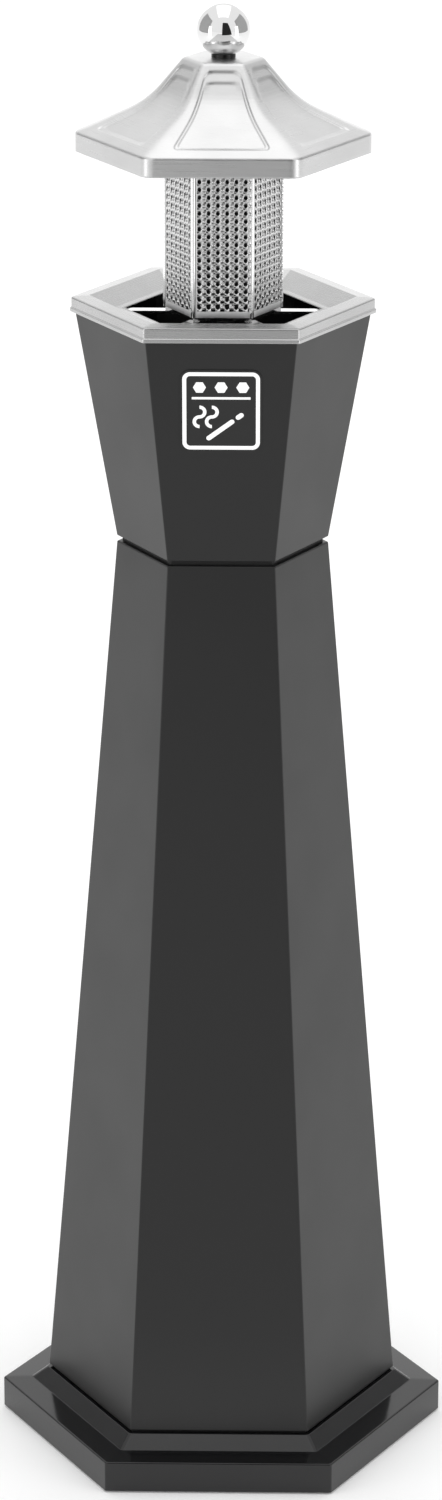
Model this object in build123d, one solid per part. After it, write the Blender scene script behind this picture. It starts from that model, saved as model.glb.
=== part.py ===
"""Hexagonal smokers' column: a tapered stand, a flared head with a lift-out ash pail,
and a lift-off top with a drop-through tray, a perforated stubbing lantern, a pressed roof and a ball.

Millimetres. +Z is up, the origin is on the floor under the axis, and the sign is on the -Y side.
Corner radius means centre to corner; apothem means centre to the middle of a side.
"""

import os
from math import acos, asin, atan2, cos, degrees, hypot, radians, sin, tan

from build123d import *

SIDES = 6
SIDE_TURN = 360 / SIDES
TO_APOTHEM = cos(radians(SIDE_TURN / 2))

# Base: a pressed cover over a thick plate on rubber feet
BASE_R = 154.0
SKIRT_BOTTOM = 1.5
SKIRT_TOP = 23.0
LEDGE_RISE = 0.6
STEP_FOOT_R = 134.0
STEP_TOP_R = 123.0
STEP_TOP_Z = 31.8
COVER_WALL = 1.5
COVER_OPENING_R = 98.0
PLATE_Z = 8.0
PLATE_WALL = 6.0
PLATE_R = 150.0
FOOT_D = 30.0
FOOT_AT_R = 128.0
BASE_BOLT_AT = 94.0
BASE_BOLT_D = 8.0
BASE_BOLT_AF = 13.0
BASE_BOLT_HEAD = 5.3
BASE_BOLT_STICKOUT = 2.5
BASE_NUT_H = 6.5
SPACER_D = 14.0
GASKET_R = 119.0
BOLT_HOLE_PLAY = 0.8

# Column
SHEET = 1.5
COLUMN_Z = 33.0
COLUMN_R = 121.5
COLUMN_TOP = 639.0
COLUMN_TOP_R = 70.6
BEND = 2.0
FLANGE_R = 98.0
NECK_FLANGE_R = 44.0

# Neck and head
HEAD_Z = 642.4
HEAD_R = 70.6
HEAD_TOP = 804.4
HEAD_TOP_R = 99.0
NECK_R = 67.1
NECK_BOLT_AT = 48.0
NECK_BOLT_D = 6.0
NECK_BOLT_AF = 10.0
NECK_BOLT_HEAD = 4.0
NECK_BOLT_STICKOUT = 2.0
NECK_NUT_H = 5.0
FLOOR_WALL = 2.0
HEAD_LIP = 8.0

# Ash pail and its bail
PAIL_WALL = 1.0
PAIL_Z = 652.0
PAIL_R = 60.0
PAIL_RIM_Z = 710.0
PAIL_TOP_R = 70.8
PAIL_RIM_R = 77.5
SHELF_WALL = 1.5
SHELF_R = 71.5
BAIL_WIRE = 3.5
BAIL_R = 72.5
BAIL_AXIS_Z = 714.7
BAIL_REST_GAP = 0.2
LUG_X = 74.8
LUG_WALL = 1.5
LUG_WIDTH = 9.0
LUG_TOP = 718.5
PIVOT_CLEARANCE = 0.08

# Tray: rolled band, sloping rim, funnel and shelf with a hexagonal mouth
TRAY_R = 101.2
TRAY_BOTTOM = 795.6
TRAY_EDGE_Z = 805.5
TRAY_RIM_R = 88.4
TRAY_RIM_Z = 806.5
TRAY_FUNNEL_R = 71.0
TRAY_SHELF_Z = 798.4
TRAY_MOUTH_R = 65.5
TRAY_WALL = 1.2

# Spider and lantern
ARM_WIDTH = 8.0
ARM_WALL = 2.0
ARM_R = 69.5
HUB_D = 36.0
FOOT_RING_R = 38.0
FOOT_RING_MOUTH_R = 28.0
FOOT_RING_WALL = 2.4
PANEL_APOTHEM = 33.6
PANEL_WALL = 1.0
PANEL_HALF_WIDTH = 17.5
POST_D = 3.0
POST_AT_R = 38.0
LINER_R = 34.6
LINER_WALL = 1.0
LANTERN_TOP = 943.0
TOP_PLATE_WALL = 1.5
HOLE_D = 3.0
HOLE_PITCH = 6.0
ROW_PITCH = 5.2
HOLES_IN_ROW = 6
HOLE_ROWS = 26
FIRST_ROW_Z = 806.4

# Roof
ROOF_R = 98.0
EAVE_Z = 903.0
ROOF_EDGE_Z = 915.8
ROOF_TOP = 965.0
ROOF_WALL = 1.2
SHOULDER_APOTHEM = 22.7
SHOULDER_BEND = 5.0
ROOF_STEEP = 53.0
ROOF_SHALLOW = 27.0
DISH_R = 58.0
ROOF_EDGE_BEND = 2.0

# Tie rod and finial
ROD_D = 8.0
ROD_END_Z = 785.0
ROD_HOLE_D = 8.6
WASHER_D = 18.0
WASHER_WALL = 1.6
ROD_NUT_AF = 13.0
ROD_NUT_H = 6.5
SLEEVE_D = 13.0
COLLAR_D = 15.8
COLLAR_H = 2.4
BALL_D = 35.0
BALL_TOP = 1000.0
BALL_BORE_DEPTH = 20.0
THREAD_CLEARANCE = 0.05

# Sign on the front of the head
SIGN_W = 53.0
SIGN_H = 57.0
SIGN_WALL = 0.6
SIGN_CORNER = 6.5
SIGN_CENTRE_Z = 748.8
PRINT_WALL = 0.15
PRINT_STROKE = 3.2
MARK_R = 4.2
MARK_PITCH = 14.0
CURL_R = 3.4
BORDER_W = 50.2
BORDER_H = 54.2
BORDER_LINE = 2.6
BORDER_CORNER = 5.0
BASE_HOLE_D = BASE_BOLT_D + BOLT_HOLE_PLAY
NECK_HOLE_D = NECK_BOLT_D + BOLT_HOLE_PLAY


def hexagon(corner_r, z, bend=0.0):
    """A level hexagon with corners on the X axis, its corners rounded by bend."""
    outline = RegularPolygon(corner_r, SIDES)
    if bend:
        outline = fillet(outline.vertices(), bend)
    return Plane.XY.offset(z) * outline


def prism(corner_r, z0, z1, bend=0.0):
    return extrude(hexagon(corner_r, z0, bend), amount=z1 - z0)


def frustum(r0, z0, r1, z1, bend=0.0):
    return loft([hexagon(r0, z0, bend), hexagon(r1, z1, bend)], ruled=True)


def disc(diameter, z0, z1, x=0.0, y=0.0):
    return Pos(x, y, z0) * extrude(Circle(diameter / 2), amount=z1 - z0)


def hex_head(across_flats, z0, z1, x=0.0, y=0.0):
    outline = RegularPolygon(across_flats / 2, SIDES, major_radius=False)
    return Pos(x, y, z0) * extrude(outline, amount=z1 - z0)


def side_points(apothem):
    """The six points at this distance from the axis, at the middles of the sides."""
    turns = [radians(SIDE_TURN * (k + 0.5)) for k in range(SIDES)]
    return [(apothem * cos(t), apothem * sin(t)) for t in turns]


def corner_points(corner_r):
    turns = [radians(SIDE_TURN * k) for k in range(SIDES)]
    return [(corner_r * cos(t), corner_r * sin(t)) for t in turns]


def round_the_sides(profile, top):
    """Sweep a profile drawn as (apothem, height) round the six sides, mitred at the corners."""
    reach = 2 * BASE_R
    half = reach * tan(radians(SIDE_TURN / 2))
    slab = extrude(Plane.XZ * profile, amount=reach, both=True)
    wedge = extrude(Polygon((0, 0), (reach, -half), (reach, half), align=None), amount=top)
    side = slab & wedge
    swept = Rot(0, 0, SIDE_TURN / 2) * side
    for k in range(1, SIDES):
        swept += Rot(0, 0, SIDE_TURN * (k + 0.5)) * side
    return swept


def drilled(body, diameter, points, z0, z1):
    for x, y in points:
        body -= disc(diameter, z0, z1, x, y)
    return body


def group(solids):
    return Compound(children=[s for part in solids for s in part.solids()])


# ---------------------------------------------------------------- base


def cover_solid(inset):
    """The base's outline as one solid, taken in by the sheet's thickness for its hollow."""
    side = inset / TO_APOTHEM
    skirt = prism(BASE_R - side, SKIRT_BOTTOM, SKIRT_TOP - inset, BEND)
    ledge_z = SKIRT_TOP + LEDGE_RISE - inset
    ledge = frustum(BASE_R - side, SKIRT_TOP - inset, STEP_FOOT_R - side, ledge_z, BEND)
    step = frustum(STEP_FOOT_R - side, ledge_z, STEP_TOP_R - side, STEP_TOP_Z - inset, BEND)
    return skirt + ledge + step


def base_cover():
    cover = cover_solid(0) - cover_solid(COVER_WALL)
    above = STEP_TOP_Z + COVER_WALL
    cover -= prism(COVER_OPENING_R, SKIRT_TOP, above)
    return drilled(cover, BASE_HOLE_D, side_points(BASE_BOLT_AT), SKIRT_TOP, above)


def base_plate():
    plate = prism(PLATE_R, PLATE_Z, PLATE_Z + PLATE_WALL, BEND)
    return drilled(plate, BASE_HOLE_D, side_points(BASE_BOLT_AT), 0, STEP_TOP_Z)


def rubber_feet():
    """Tapered pads with a recess in the tread, bonded under the plate's corners."""
    pad = loft([Circle(FOOT_D / 2 - 1.5), Pos(0, 0, PLATE_Z) * Circle(FOOT_D / 2)])
    pad -= extrude(Circle(FOOT_D / 5), amount=2)
    return group([Pos(x, y, 0) * pad for x, y in corner_points(FOOT_AT_R)])


def base_spacers():
    """Tubes that carry the cover and the column above the base plate."""
    z0, z1 = PLATE_Z + PLATE_WALL, STEP_TOP_Z - COVER_WALL
    points = side_points(BASE_BOLT_AT)
    return group([disc(SPACER_D, z0, z1, *p) - disc(BASE_HOLE_D, z0, z1, *p) for p in points])


def base_bolts():
    """Hex bolts put in from under the base plate."""
    tip = COLUMN_Z + SHEET + BASE_NUT_H + BASE_BOLT_STICKOUT
    bolts = []
    for p in side_points(BASE_BOLT_AT):
        head = hex_head(BASE_BOLT_AF, PLATE_Z - BASE_BOLT_HEAD, PLATE_Z, *p)
        bolts.append(head + disc(BASE_BOLT_D, PLATE_Z, tip, *p))
    return group(bolts)


def column_gasket():
    gasket = prism(GASKET_R, STEP_TOP_Z, COLUMN_Z) - prism(FLANGE_R, STEP_TOP_Z, COLUMN_Z)
    return drilled(gasket, BASE_HOLE_D, side_points(BASE_BOLT_AT), STEP_TOP_Z, COLUMN_Z)


# ---------------------------------------------------------------- column and neck


def bent_shell(r0, z0, r1, z1):
    """A tapered hexagonal tube of sheet, open at both ends, with bent corners."""
    wall = SHEET / TO_APOTHEM
    outer = frustum(r0, z0, r1, z1, BEND)
    return outer - frustum(r0 - wall, z0, r1 - wall, z1, BEND)


def flange(outer_r, inner_r, z):
    """An inward flange of sheet, from z upwards."""
    inset = SHEET / 2 / TO_APOTHEM
    return prism(outer_r - inset, z, z + SHEET, BEND) - prism(inner_r, z, z + SHEET)


def column_shell():
    shell = bent_shell(COLUMN_R, COLUMN_Z, COLUMN_TOP_R, COLUMN_TOP)
    shell += flange(COLUMN_R, FLANGE_R, COLUMN_Z)
    shell += flange(COLUMN_TOP_R, NECK_FLANGE_R, COLUMN_TOP - SHEET)
    low, high = side_points(BASE_BOLT_AT), side_points(NECK_BOLT_AT)
    shell = drilled(shell, BASE_HOLE_D, low, COLUMN_Z, COLUMN_Z + 2 * SHEET)
    return drilled(shell, NECK_HOLE_D, high, COLUMN_TOP - 2 * SHEET, COLUMN_TOP)


def column_weld_nuts():
    z0 = COLUMN_Z + SHEET
    z1 = z0 + BASE_NUT_H
    points = side_points(BASE_BOLT_AT)
    bore = BASE_BOLT_D + 2 * THREAD_CLEARANCE
    return group([hex_head(BASE_BOLT_AF, z0, z1, *p) - disc(bore, z0, z1, *p) for p in points])


def neck_ring():
    ring = prism(NECK_R, COLUMN_TOP, HEAD_Z, BEND) - prism(NECK_FLANGE_R, COLUMN_TOP, HEAD_Z)
    return drilled(ring, NECK_HOLE_D, side_points(NECK_BOLT_AT), COLUMN_TOP, HEAD_Z)


def neck_bolts():
    floor_top = HEAD_Z + SHEET + FLOOR_WALL
    tip = COLUMN_TOP - SHEET - NECK_NUT_H - NECK_BOLT_STICKOUT
    bolts = []
    for p in side_points(NECK_BOLT_AT):
        head = hex_head(NECK_BOLT_AF, floor_top, floor_top + NECK_BOLT_HEAD, *p)
        bolts.append(head + disc(NECK_BOLT_D, tip, floor_top, *p))
    return group(bolts)


def neck_nuts():
    z1 = COLUMN_TOP - SHEET
    z0 = z1 - NECK_NUT_H
    bore = NECK_BOLT_D + 2 * THREAD_CLEARANCE
    points = side_points(NECK_BOLT_AT)
    return group([hex_head(NECK_BOLT_AF, z0, z1, *p) - disc(bore, z0, z1, *p) for p in points])


# ---------------------------------------------------------------- head


def head_radius(z):
    """The head's outer corner radius at a height."""
    return HEAD_R + (HEAD_TOP_R - HEAD_R) * (z - HEAD_Z) / (HEAD_TOP - HEAD_Z)


def head_shell():
    shell = bent_shell(HEAD_R, HEAD_Z, HEAD_TOP_R, HEAD_TOP)
    shell += flange(HEAD_R, NECK_FLANGE_R, HEAD_Z)
    lip_r = HEAD_TOP_R - HEAD_LIP / TO_APOTHEM
    shell += flange(HEAD_TOP_R, lip_r, HEAD_TOP - SHEET)
    return drilled(shell, NECK_HOLE_D, side_points(NECK_BOLT_AT), HEAD_Z, HEAD_Z + 2 * SHEET)


def head_floor():
    z = HEAD_Z + SHEET
    plate = prism(head_radius(z) - (SHEET + 0.4) / TO_APOTHEM, z, z + FLOOR_WALL, BEND)
    return drilled(plate, NECK_HOLE_D, side_points(NECK_BOLT_AT), z, z + FLOOR_WALL)


def pail_shelf():
    """The welded ledge inside the head that the pail's rim hangs on."""
    z0 = PAIL_RIM_Z - SHELF_WALL
    outer_r = head_radius(z0) - (SHEET + 0.05) / TO_APOTHEM
    return prism(outer_r, z0, PAIL_RIM_Z, BEND) - prism(SHELF_R, z0, PAIL_RIM_Z, BEND)


def sign_plane():
    """A plane on the head's front face at the sign's centre, with its Y axis up the face."""
    lean = (HEAD_TOP_R - HEAD_R) * TO_APOTHEM / (HEAD_TOP - HEAD_Z)
    front = -head_radius(SIGN_CENTRE_Z) * TO_APOTHEM
    normal = Vector(0, -1, -lean)
    return Plane(origin=(0, front, SIGN_CENTRE_Z), x_dir=(1, 0, 0), z_dir=normal)


def sign_plate():
    return extrude(sign_plane() * RectangleRounded(SIGN_W, SIGN_H, SIGN_CORNER), amount=SIGN_WALL)


def bar(x0, y0, x1, y1):
    """A straight stroke with round ends between two points."""
    length, turn = hypot(x1 - x0, y1 - y0), degrees(atan2(y1 - y0, x1 - x0))
    middle = Pos((x0 + x1) / 2, (y0 + y1) / 2)
    return middle * Rot(0, 0, turn) * SlotCenterToCenter(length, PRINT_STROKE)


def smoke_curl():
    """Two half rings, one above the other and facing opposite ways, that meet end to end."""
    width = PRINT_STROKE * 0.7
    ring = Circle(CURL_R + width / 2) - Circle(CURL_R - width / 2)
    reach = 2 * CURL_R
    left = ring & Pos(-reach / 2, 0) * Rectangle(reach, 2 * reach)
    right = ring & Pos(reach / 2, 0) * Rectangle(reach, 2 * reach)
    return left + Pos(0, 2 * CURL_R) * right


def sign_print():
    """A raised ink border, three plain hexagons, a rule and a cigarette with two curls of smoke."""
    inner = RectangleRounded(BORDER_W - 2 * BORDER_LINE, BORDER_H - 2 * BORDER_LINE, BORDER_CORNER / 2)
    marks = [RectangleRounded(BORDER_W, BORDER_H, BORDER_CORNER) - inner]
    marks += [Pos(MARK_PITCH * k, 16.5) * RegularPolygon(MARK_R, SIDES) for k in (-1, 0, 1)]
    marks.append(Pos(0, 9) * Rectangle(38, 1.6))
    marks.append(bar(-8, -19, 7, -7.5))
    marks.append(bar(11, -4.4, 13, -2.9))
    marks += [Pos(x, -7.5) * smoke_curl() for x in (-14, -6)]
    ink = sign_plane().offset(SIGN_WALL)
    return group([extrude(ink * m, amount=PRINT_WALL) for m in marks])


# ---------------------------------------------------------------- ash pail


def pail():
    wall = PAIL_WALL / TO_APOTHEM
    outer = frustum(PAIL_R, PAIL_Z, PAIL_TOP_R, PAIL_RIM_Z, BEND)
    rim = prism(PAIL_RIM_R, PAIL_RIM_Z, PAIL_RIM_Z + PAIL_WALL, BEND)
    slope = (PAIL_TOP_R - PAIL_R) / (PAIL_RIM_Z - PAIL_Z)
    top = PAIL_RIM_Z + PAIL_WALL
    hollow = frustum(PAIL_R - wall + slope, PAIL_Z + PAIL_WALL, PAIL_TOP_R - wall + slope, top, BEND)
    return outer + rim - hollow


def bail_lugs():
    z0 = PAIL_RIM_Z + PAIL_WALL
    plate = Pos(LUG_X + LUG_WALL / 2, 0, (z0 + LUG_TOP) / 2) * Box(LUG_WALL, LUG_WIDTH, LUG_TOP - z0)
    bore = Cylinder(BAIL_WIRE / 2 + PIVOT_CLEARANCE, 2 * LUG_X + 10, rotation=(0, 90, 0))
    plate -= Pos(0, 0, BAIL_AXIS_Z) * bore
    return group([plate, Rot(0, 0, 180) * plate])


def bail():
    """Half a hexagon of wire with its ends turned out through the lugs, resting on the pail's rim."""
    far_y = -BAIL_R * TO_APOTHEM
    pin_end = LUG_X + LUG_WALL + 0.7
    corners = [
        (pin_end, 0),
        (BAIL_R - 2.2, 0),
        (BAIL_R / 2, far_y),
        (-BAIL_R / 2, far_y),
        (2.2 - BAIL_R, 0),
        (-pin_end, 0),
    ]
    path = FilletPolyline(*[(x, y, 0) for x, y in corners], radius=[2.4, 8, 8, 2.4])
    start = Plane(origin=path @ 0, z_dir=path % 0)
    wire = sweep(start * Circle(BAIL_WIRE / 2), path=path)
    drop = BAIL_AXIS_Z - BAIL_WIRE / 2 - BAIL_REST_GAP - PAIL_RIM_Z - PAIL_WALL
    return Pos(0, 0, BAIL_AXIS_Z) * Rot(degrees(asin(drop / -far_y)), 0, 0) * wire


# ---------------------------------------------------------------- tray and lantern


def tray():
    """A band over the head's edge, a sloping rim, a funnel and a level shelf round the mouth."""
    band, rim, funnel, mouth = [r * TO_APOTHEM for r in (TRAY_R, TRAY_RIM_R, TRAY_FUNNEL_R, TRAY_MOUTH_R)]
    top = [(band, TRAY_EDGE_Z), (rim, TRAY_RIM_Z), (funnel, TRAY_SHELF_Z), (mouth, TRAY_SHELF_Z)]
    under = [(a, z - TRAY_WALL) for a, z in reversed(top)]
    funnel_shift = 0.35
    under[1] = (funnel - funnel_shift, under[1][1])
    under[2] = (rim - funnel_shift, under[2][1])
    under[3] = (band - TRAY_WALL, under[3][1] + 0.1)
    outline = [(band, TRAY_BOTTOM), *top, *under, (band - TRAY_WALL, TRAY_BOTTOM)]
    return round_the_sides(make_face(Polyline(*outline, close=True)), 2 * TRAY_RIM_Z)


def spider():
    """One cut plate: a hub and six arms that are welded under the tray's shelf."""
    z1 = TRAY_SHELF_Z - TRAY_WALL
    plan = Circle(HUB_D / 2)
    for k in range(SIDES // 2):
        plan += Rot(0, 0, SIDE_TURN * k) * Rectangle(2 * ARM_R, ARM_WIDTH)
    plan -= Circle(ROD_HOLE_D / 2)
    return Pos(0, 0, z1 - ARM_WALL) * extrude(plan, amount=ARM_WALL)


def lantern_foot_z():
    return TRAY_SHELF_Z - TRAY_WALL + FOOT_RING_WALL


def lantern_foot_ring():
    z0, z1 = TRAY_SHELF_Z - TRAY_WALL, lantern_foot_z()
    return prism(FOOT_RING_R, z0, z1) - prism(FOOT_RING_MOUTH_R, z0, z1)


def lantern_panels():
    """Six plates with a grid of stubbing holes, between the corner posts."""
    z0 = lantern_foot_z()
    height = LANTERN_TOP - z0
    first_x = -HOLE_PITCH * (HOLES_IN_ROW - 1) / 2
    plate = Pos(0, (z0 + LANTERN_TOP) / 2) * Rectangle(2 * PANEL_HALF_WIDTH, height)
    holes = [
        Pos(first_x + HOLE_PITCH * i, FIRST_ROW_Z + ROW_PITCH * j) * Circle(HOLE_D / 2)
        for i in range(HOLES_IN_ROW)
        for j in range(HOLE_ROWS)
    ]
    face = Plane(origin=(0, -PANEL_APOTHEM, 0), x_dir=(1, 0, 0), z_dir=(0, -1, 0))
    panel = extrude(face * (plate - holes), amount=-PANEL_WALL)
    return group([Rot(0, 0, SIDE_TURN * k) * panel for k in range(SIDES)])


def lantern_posts():
    return group([disc(POST_D, lantern_foot_z(), LANTERN_TOP, *p) for p in corner_points(POST_AT_R)])


def lantern_liner():
    """Black tube behind the stubbing holes, which keeps sparks and ash out of the lantern."""
    z0 = lantern_foot_z()
    mouth_r = LINER_R - LINER_WALL / TO_APOTHEM
    return prism(LINER_R, z0, LANTERN_TOP) - prism(mouth_r, z0, LANTERN_TOP)


def lantern_top_plate():
    z1 = LANTERN_TOP + TOP_PLATE_WALL
    return prism(POST_AT_R + 0.6, LANTERN_TOP, z1) - disc(ROD_HOLE_D, LANTERN_TOP, z1)


# ---------------------------------------------------------------- roof, rod and finial


def roof_line():
    """The roof's outer line, from the axis over the shoulder and the dished slope to the eave."""
    steep, shallow = tan(radians(ROOF_STEEP)), tan(radians(ROOF_SHALLOW))
    edge = ROOF_R * TO_APOTHEM
    run, fall = edge - SHOULDER_APOTHEM, ROOF_TOP - ROOF_EDGE_Z
    steep_run = (fall - run * shallow) / (steep - shallow)
    return FilletPolyline(
        (0, ROOF_TOP),
        (SHOULDER_APOTHEM, ROOF_TOP),
        (SHOULDER_APOTHEM + steep_run, ROOF_TOP - steep_run * steep),
        (edge, ROOF_EDGE_Z),
        (edge, EAVE_Z),
        radius=[SHOULDER_BEND, DISH_R, ROOF_EDGE_BEND],
    )


def roof():
    """A pressed hexagonal roof with dished sides, a small level top and a turned-down edge."""
    sheet = make_face(offset(roof_line(), ROOF_WALL, side=Side.RIGHT))
    shell = round_the_sides(sheet, 2 * ROOF_TOP)
    return shell - disc(ROD_HOLE_D, EAVE_Z, ROOF_TOP + 1)


def tie_rod():
    return disc(ROD_D, ROD_END_Z, ROOF_TOP + COLLAR_H + BALL_BORE_DEPTH - 2)


def rod_washer():
    z1 = TRAY_SHELF_Z - TRAY_WALL - ARM_WALL
    return disc(WASHER_D, z1 - WASHER_WALL, z1) - disc(ROD_HOLE_D, z1 - WASHER_WALL, z1)


def rod_nut():
    z1 = TRAY_SHELF_Z - TRAY_WALL - ARM_WALL - WASHER_WALL
    return hex_head(ROD_NUT_AF, z1 - ROD_NUT_H, z1) - disc(ROD_D + 2 * THREAD_CLEARANCE, ROD_END_Z, z1)


def spacer_sleeve():
    """The tube on the rod that holds the roof's level top above the lantern."""
    z0, z1 = LANTERN_TOP + TOP_PLATE_WALL, ROOF_TOP - ROOF_WALL
    return disc(SLEEVE_D, z0, z1) - disc(ROD_HOLE_D, z0, z1)


def finial_collar():
    z1 = ROOF_TOP + COLLAR_H
    return disc(COLLAR_D, ROOF_TOP, z1) - disc(ROD_HOLE_D, ROOF_TOP, z1)


def finial_ball():
    """A turned ball, fitted below its middle to the collar, with a blind bore."""
    radius, neck = BALL_D / 2, COLLAR_D / 2
    foot_z = ROOF_TOP + COLLAR_H
    centre_z = BALL_TOP - radius
    foot_angle = acos(neck / radius)
    stretch = (centre_z - foot_z) / sin(foot_angle)
    halfway = foot_angle / 2
    waist = (radius * cos(halfway), centre_z - stretch * sin(halfway))
    into_foot = (-radius * sin(foot_angle), -stretch * cos(foot_angle))
    outline = (
        CenterArc((0, centre_z), radius, 0, 90)
        + Spline((radius, centre_z), waist, (neck, foot_z), tangents=[(0, -1), into_foot])
        + Line((neck, foot_z), (0, foot_z))
        + Line((0, foot_z), (0, BALL_TOP))
    )
    ball = revolve(Plane.XZ * make_face(outline), axis=Axis.Z)
    return ball - disc(ROD_D + 2 * THREAD_CLEARANCE, foot_z, foot_z + BALL_BORE_DEPTH)


PARTS = [
    base_cover,
    base_plate,
    rubber_feet,
    base_spacers,
    base_bolts,
    column_gasket,
    column_shell,
    column_weld_nuts,
    neck_ring,
    neck_bolts,
    neck_nuts,
    head_shell,
    head_floor,
    pail_shelf,
    sign_plate,
    sign_print,
    pail,
    bail_lugs,
    bail,
    tray,
    spider,
    lantern_foot_ring,
    lantern_panels,
    lantern_posts,
    lantern_liner,
    lantern_top_plate,
    roof,
    tie_rod,
    rod_washer,
    rod_nut,
    spacer_sleeve,
    finial_collar,
    finial_ball,
]

os.makedirs("parts", exist_ok=True)
for make in PARTS:
    export_step(make(), f"parts/{make.__name__}.step")
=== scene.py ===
"""The hexagonal smokers' column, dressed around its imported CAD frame.

Blender works in metres here, +Z up, with the sign on the -Y side and two opposite corners on X.
Sizes that only shape a visible surface are written in millimetres and turned to metres in one place.
An apothem runs from the axis to the middle of a side, a corner radius from the axis to a corner.
"""

from __future__ import annotations

import logging
import math
from collections.abc import Callable
from dataclasses import dataclass, field
from enum import Enum

import bmesh
import bpy
from mathutils import Matrix, Vector


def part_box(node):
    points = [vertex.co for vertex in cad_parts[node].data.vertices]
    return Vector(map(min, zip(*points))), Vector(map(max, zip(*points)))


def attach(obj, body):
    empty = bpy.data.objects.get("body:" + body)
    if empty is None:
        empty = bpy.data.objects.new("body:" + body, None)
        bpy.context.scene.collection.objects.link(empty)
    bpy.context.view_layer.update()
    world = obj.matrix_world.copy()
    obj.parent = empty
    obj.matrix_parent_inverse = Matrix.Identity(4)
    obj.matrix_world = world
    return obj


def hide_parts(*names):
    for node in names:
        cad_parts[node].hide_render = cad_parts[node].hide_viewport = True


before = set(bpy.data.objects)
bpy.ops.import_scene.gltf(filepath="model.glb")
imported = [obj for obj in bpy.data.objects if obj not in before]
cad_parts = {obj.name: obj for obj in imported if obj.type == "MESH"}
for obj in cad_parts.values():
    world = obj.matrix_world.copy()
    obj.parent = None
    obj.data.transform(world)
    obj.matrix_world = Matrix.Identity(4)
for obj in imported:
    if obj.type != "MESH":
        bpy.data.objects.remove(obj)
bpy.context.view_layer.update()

Tree, Node, Socket = bpy.types.NodeTree, bpy.types.Node, bpy.types.NodeSocket
Mesh, Object = bpy.types.Mesh, bpy.types.Object
Line = list[tuple[float, float]]

MM = 0.001
SIDES = 6
SIDE_TURN = math.tau / SIDES
HALF_TURN = SIDE_TURN / 2
TO_APOTHEM = math.cos(HALF_TURN)
MERGE = 0.02 * MM
SMOOTH_ANGLE = math.radians(38)
FLAT_WEIGHT = 80
STRAIGHT = 1e-3
NOISE_LOW, NOISE_HIGH = 0.3, 0.7
POLE_RADIUS = 1e-6

log = logging.getLogger("smokers_column")


# ---------------------------------------------------------------- nodes and colours


def linear(code: str) -> tuple[float, float, float, float]:
    """Turns an sRGB hex colour into Blender's linear colour.

    Args:
        code: six hex digits with a leading #.

    Returns:
        Red, green, blue and an alpha of 1.
    """
    channels = [int(code[i : i + 2], 16) / 255 for i in (1, 3, 5)]
    red, green, blue = [c / 12.92 if c <= 0.04045 else ((c + 0.055) / 1.055) ** 2.4 for c in channels]
    return (red, green, blue, 1.0)


def add_node(tree: Tree, kind: str, inputs: dict | None = None, **settings) -> Node:
    """Adds a node, sets it up and feeds its inputs.

    Args:
        tree: the tree that it goes in.
        kind: Blender's name for the type of node.
        inputs: socket name or number, with a value or an output socket to link from.
        settings: the node's own attributes.

    Returns:
        The new node.
    """
    node = tree.nodes.new(kind)
    for name, value in settings.items():
        setattr(node, name, value)
    for key, value in (inputs or {}).items():
        if isinstance(value, Socket):
            tree.links.new(value, node.inputs[key])
        else:
            node.inputs[key].default_value = value
    return node


# ---------------------------------------------------------------- finishes


class Along(Enum):
    """What a finish's pattern follows: the whole piece, or the sheet it was brushed on."""

    PIECE = "Object"
    SHEET = "UV"


@dataclass(frozen=True)
class Surface:
    """One material's tree and shader while its finish is worked in."""

    tree: Tree
    shader: Node
    along: Along
    roughness: float

    def add(self, kind: str, inputs: dict | None = None, **settings) -> Node:
        """Adds a node to the material."""
        return add_node(self.tree, kind, inputs, **settings)

    def feed(self, source: Socket, target: str) -> None:
        """Links an output to one of the shader's inputs."""
        self.tree.links.new(source, self.shader.inputs[target])

    def noise(self, size: float, stretch: tuple = (1, 1, 1), detail: float = 3) -> Node:
        """Adds a noise whose grains have a real size.

        Args:
            size: width of a grain in millimetres.
            stretch: how many times finer the grain is along each axis.
            detail: octaves of finer noise.

        Returns:
            The noise node.
        """
        coordinates = self.add("ShaderNodeTexCoord")
        flow = {"Vector": coordinates.outputs[self.along.value], "Scale": stretch}
        placed = self.add("ShaderNodeMapping", flow)
        grain = {"Vector": placed.outputs["Vector"], "Scale": 1 / (size * MM), "Detail": detail}
        return self.add("ShaderNodeTexNoise", grain)

    def vary(self, source: Node, low: float, high: float) -> Socket:
        """Maps a noise's middle range to two limits.

        Args:
            source: the noise.
            low: the value in its dark parts.
            high: the value in its light parts.

        Returns:
            The mapped value's socket.
        """
        limits = {"Value": source.outputs[0], "To Min": low, "To Max": high}
        limits |= {"From Min": NOISE_LOW, "From Max": NOISE_HIGH}
        return self.add("ShaderNodeMapRange", limits).outputs["Result"]

    def mottle(self, source: Node, spread: float) -> None:
        """Lets a noise vary the roughness by a spread each way."""
        self.feed(self.vary(source, self.roughness - spread, self.roughness + spread), "Roughness")

    def emboss(self, source: Node, depth: float, strength: float) -> None:
        """Gives the surface a relief.

        Args:
            source: the noise that it follows.
            depth: the relief's depth in millimetres.
            strength: how strongly it shows.
        """
        relief = {"Height": source.outputs[0], "Distance": depth * MM, "Strength": strength}
        self.feed(self.add("ShaderNodeBump", relief).outputs["Normal"], "Normal")


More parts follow.
